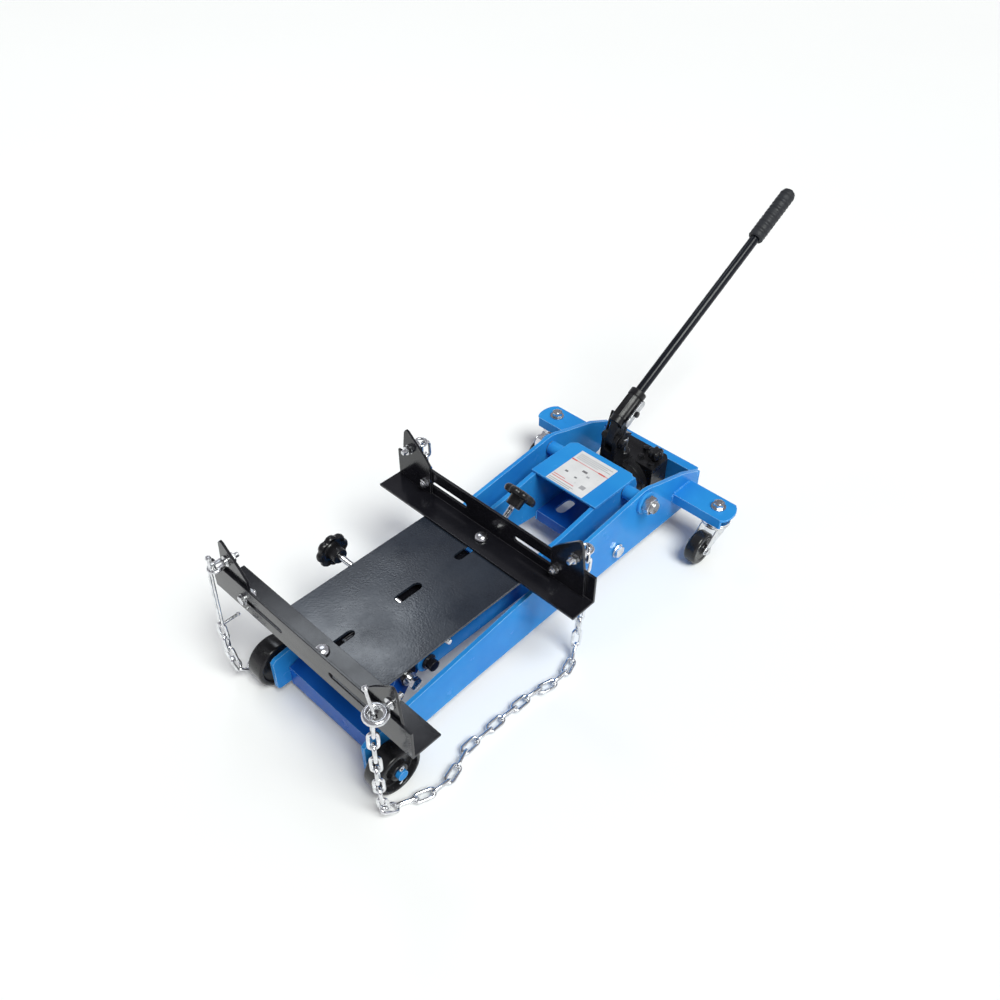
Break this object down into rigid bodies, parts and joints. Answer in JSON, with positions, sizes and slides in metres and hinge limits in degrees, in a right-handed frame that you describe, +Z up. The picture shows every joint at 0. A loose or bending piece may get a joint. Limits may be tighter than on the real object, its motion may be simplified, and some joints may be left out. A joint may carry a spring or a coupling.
{
  "type": "floor transmission jack",
  "caption": "Low-profile wheeled floor jack whose hydraulic parallel lift arms raise a tilting platform with sliding angle irons, jaws and hold-down chains.",
  "frame": {"origin": "on the floor under the centre of the jack's outline, the two chains left out", "axes": "+Z up, +Y from the saddle end to the handle end, along the frame; +X to the right seen from the saddle end's front"},
  "size_m": [0.418, 1.143, 0.4597],
  "materials": {
    "side_plate_left_mat": "gloss blue paint",
    "side_plate_right_mat": "gloss blue paint",
    "caster_wing_left_mat": "gloss blue paint",
    "caster_wing_right_mat": "gloss blue paint",
    "rear_tie_mat": "gloss blue paint",
    "front_channel_mat": "gloss blue paint",
    "pivot_shaft_mat": "turned steel",
    "pivot_nut_left_mat": "bright zinc plate",
    "pivot_nut_right_mat": "bright zinc plate",
    "link_bolt_left_mat": "bright zinc plate",
    "link_bolt_right_mat": "bright zinc plate",
    "pump_block_mat": "black paint on a casting",
    "ram_cylinder_mat": "black paint on a casting",
    "lift_arm_left_mat": "gloss blue paint",
    "lift_arm_right_mat": "gloss blue paint",
    "arm_cover_mat": "gloss blue paint",
    "arm_web_mat": "gloss blue paint",
    "lower_link_left_mat": "gloss blue paint",
    "lower_link_right_mat": "gloss blue paint",
    "saddle_base_mat": "gloss blue paint",
    "arm_pin_mat": "black powder coat",
    "link_pin_mat": "bright zinc plate",
    "tilt_bolt_mat": "bright zinc plate",
    "tilt_frame_mat": "black powder coat",
    "tilt_nut_mat": "bright zinc plate",
    "platform_mat": "black powder coat",
    "chain_left_mat": "bright zinc plate",
    "chain_right_mat": "bright zinc plate",
    "tilt_knob_rear_mat": "moulded black",
    "tilt_screw_rear_mat": "bright zinc plate",
    "tilt_knob_side_mat": "moulded black",
    "tilt_screw_side_mat": "bright zinc plate",
    "ram_rod_mat": "bright zinc plate",
    "handle_socket_mat": "black paint on a casting",
    "handle_tube_mat": "black powder coat",
    "handle_grip_mat": "moulded black",
    "pump_piston_mat": "bright zinc plate",
    "release_knob_mat": "moulded black",
    "front_wheel_left_mat": "moulded black",
    "caster_fork_left_mat": "bright zinc plate",
    "caster_wheel_left_mat": "moulded black",
    "front_wheel_right_mat": "moulded black",
    "caster_fork_right_mat": "bright zinc plate",
    "caster_wheel_right_mat": "moulded black",
    "angle_iron_front_mat": "black powder coat",
    "clamp_bolt_front_mat": "bright zinc plate",
    "jaw_front_left_mat": "black powder coat",
    "jaw_bolt_front_left_mat": "bright zinc plate",
    "eye_bolt_front_left_mat": "bright zinc plate",
    "jaw_front_right_mat": "black powder coat",
    "jaw_bolt_front_right_mat": "bright zinc plate",
    "eye_bolt_front_right_mat": "bright zinc plate",
    "angle_iron_rear_mat": "black powder coat",
    "clamp_bolt_rear_mat": "bright zinc plate",
    "jaw_rear_left_mat": "black powder coat",
    "jaw_bolt_rear_left_mat": "bright zinc plate",
    "eye_bolt_rear_left_mat": "bright zinc plate",
    "jaw_rear_right_mat": "black powder coat",
    "jaw_bolt_rear_right_mat": "bright zinc plate",
    "eye_bolt_rear_right_mat": "bright zinc plate"
  },
  "bodies": {
    "frame": {"side_plate_left": "side_plate_left_mat", "side_plate_right": "side_plate_right_mat", "caster_wing_left": "caster_wing_left_mat", "caster_wing_right": "caster_wing_right_mat", "rear_tie": "rear_tie_mat", "front_channel": "front_channel_mat", "pivot_shaft": "pivot_shaft_mat", "pivot_nut_left": "pivot_nut_left_mat", "pivot_nut_right": "pivot_nut_right_mat", "link_bolt_left": "link_bolt_left_mat", "link_bolt_right": "link_bolt_right_mat", "pump_block": "pump_block_mat", "ram_cylinder": "ram_cylinder_mat"},
    "arms": {"lift_arm_left": "lift_arm_left_mat", "lift_arm_right": "lift_arm_right_mat", "arm_cover": "arm_cover_mat", "arm_web": "arm_web_mat"},
    "links": {"lower_link_left": "lower_link_left_mat", "lower_link_right": "lower_link_right_mat"},
    "saddle": {"saddle_base": "saddle_base_mat", "arm_pin": "arm_pin_mat", "link_pin": "link_pin_mat", "tilt_bolt": "tilt_bolt_mat"},
    "tilt": {"tilt_frame": "tilt_frame_mat", "tilt_nut": "tilt_nut_mat"},
    "deck": {"platform": "platform_mat", "chain_left": "chain_left_mat", "chain_right": "chain_right_mat"},
    "rear_knob": {"tilt_knob_rear": "tilt_knob_rear_mat", "tilt_screw_rear": "tilt_screw_rear_mat"},
    "side_knob": {"tilt_knob_side": "tilt_knob_side_mat", "tilt_screw_side": "tilt_screw_side_mat"},
    "ram": {"ram_rod": "ram_rod_mat"},
    "lever": {"handle_socket": "handle_socket_mat", "handle_tube": "handle_tube_mat", "handle_grip": "handle_grip_mat"},
    "plunger": {"pump_piston": "pump_piston_mat"},
    "valve": {"release_knob": "release_knob_mat"},
    "wheel_left": {"front_wheel_left": "front_wheel_left_mat"},
    "fork_left": {"caster_fork_left": "caster_fork_left_mat"},
    "roller_left": {"caster_wheel_left": "caster_wheel_left_mat"},
    "wheel_right": {"front_wheel_right": "front_wheel_right_mat"},
    "fork_right": {"caster_fork_right": "caster_fork_right_mat"},
    "roller_right": {"caster_wheel_right": "caster_wheel_right_mat"},
    "iron_front": {"angle_iron_front": "angle_iron_front_mat", "clamp_bolt_front": "clamp_bolt_front_mat"},
    "jaw_front_left": {"jaw_front_left": "jaw_front_left_mat", "jaw_bolt_front_left": "jaw_bolt_front_left_mat", "eye_bolt_front_left": "eye_bolt_front_left_mat"},
    "jaw_front_right": {"jaw_front_right": "jaw_front_right_mat", "jaw_bolt_front_right": "jaw_bolt_front_right_mat", "eye_bolt_front_right": "eye_bolt_front_right_mat"},
    "iron_rear": {"angle_iron_rear": "angle_iron_rear_mat", "clamp_bolt_rear": "clamp_bolt_rear_mat"},
    "jaw_rear_left": {"jaw_rear_left": "jaw_rear_left_mat", "jaw_bolt_rear_left": "jaw_bolt_rear_left_mat", "eye_bolt_rear_left": "eye_bolt_rear_left_mat"},
    "jaw_rear_right": {"jaw_rear_right": "jaw_rear_right_mat", "jaw_bolt_rear_right": "jaw_bolt_rear_right_mat", "eye_bolt_rear_right": "eye_bolt_rear_right_mat"}
  },
  "joints": [
    {"name": "lift", "type": "hinge", "parent": "frame", "child": "arms", "pos_m": [0, 0.0566, 0.129], "axis": [-1, 0, 0], "range_deg": [0, 68]},
    {"name": "link_swing", "type": "hinge", "parent": "frame", "child": "links", "pos_m": [0, -0.0054, 0.064], "axis": [-1, 0, 0], "range_deg": [0, 68]},
    {"name": "saddle_level", "type": "hinge", "parent": "arms", "child": "saddle", "pos_m": [0, -0.3854, 0.09], "axis": [-1, 0, 0], "range_deg": [-68, 0]},
    {"name": "fore_aft_tilt", "type": "hinge", "parent": "saddle", "child": "tilt", "pos_m": [0, -0.4224, 0.086], "axis": [1, 0, 0], "range_deg": [0, 6]},
    {"name": "side_tilt", "type": "hinge", "parent": "tilt", "child": "deck", "pos_m": [0, -0.3624, 0.146], "axis": [0, 1, 0], "range_deg": [-3, 3]},
    {"name": "rear_screw", "type": "hinge", "parent": "tilt", "child": "rear_knob", "pos_m": [0, -0.1254, 0.197], "axis": [0, -0.8102, -0.5861], "continuous": true},
    {"name": "side_screw", "type": "hinge", "parent": "tilt", "child": "side_knob", "pos_m": [-0.158, -0.3704, 0.1444], "axis": [1, 0, 0], "continuous": true},
    {"name": "ram_stroke", "type": "slide", "parent": "frame", "child": "ram", "axis": [0, -1, 0], "range_m": [0, 0.072]},
    {"name": "pump_lever", "type": "hinge", "parent": "frame", "child": "lever", "pos_m": [-0.012, 0.1176, 0.16], "axis": [1, 0, 0], "range_deg": [0, 28]},
    {"name": "pump_stroke", "type": "slide", "parent": "frame", "child": "plunger", "axis": [0, 0, 1], "range_m": [0, 0.016]},
    {"name": "release_turn", "type": "hinge", "parent": "frame", "child": "valve", "pos_m": [0.036, 0.1796, 0.112], "axis": [0, 0, 1], "range_deg": [-90, 0]},
    {"name": "wheel_spin_left", "type": "hinge", "parent": "frame", "child": "wheel_left", "pos_m": [-0.1305, -0.5134, 0.038], "axis": [1, 0, 0], "continuous": true},
    {"name": "caster_swivel_left", "type": "hinge", "parent": "frame", "child": "fork_left", "pos_m": [-0.178, 0.1676, 0.064], "axis": [0, 0, 1], "continuous": true},
    {"name": "caster_spin_left", "type": "hinge", "parent": "fork_left", "child": "roller_left", "pos_m": [-0.178, 0.1266, 0.029], "axis": [1, 0, 0], "continuous": true},
    {"name": "wheel_spin_right", "type": "hinge", "parent": "frame", "child": "wheel_right", "pos_m": [0.1305, -0.5134, 0.038], "axis": [1, 0, 0], "continuous": true},
    {"name": "caster_swivel_right", "type": "hinge", "parent": "frame", "child": "fork_right", "pos_m": [0.178, 0.1676, 0.064], "axis": [0, 0, 1], "continuous": true},
    {"name": "caster_spin_right", "type": "hinge", "parent": "fork_right", "child": "roller_right", "pos_m": [0.178, 0.1266, 0.029], "axis": [1, 0, 0], "continuous": true},
    {"name": "iron_slide_front", "type": "slide", "parent": "deck", "child": "iron_front", "axis": [0, 1, 0], "range_m": [0, 0.03]},
    {"name": "jaw_slide_front_left", "type": "slide", "parent": "iron_front", "child": "jaw_front_left", "axis": [1, 0, 0], "range_m": [0, 0.07]},
    {"name": "jaw_slide_front_right", "type": "slide", "parent": "iron_front", "child": "jaw_front_right", "axis": [-1, 0, 0], "range_m": [0, 0.07]},
    {"name": "iron_slide_rear", "type": "slide", "parent": "deck", "child": "iron_rear", "axis": [0, -1, 0], "range_m": [0, 0.03]},
    {"name": "jaw_slide_rear_left", "type": "slide", "parent": "iron_rear", "child": "jaw_rear_left", "axis": [1, 0, 0], "range_m": [0, 0.07]},
    {"name": "jaw_slide_rear_right", "type": "slide", "parent": "iron_rear", "child": "jaw_rear_right", "axis": [-1, 0, 0], "range_m": [0, 0.07]}
  ],
  "couplings": [
    {"joint": "link_swing", "follows": "lift", "ratio": 1},
    {"joint": "saddle_level", "follows": "lift", "ratio": -1},
    {"joint": "ram_stroke", "follows": "lift", "m_per_rad": 0.058},
    {"joint": "pump_stroke", "follows": "pump_lever", "m_per_rad": 0.03}
  ]
}
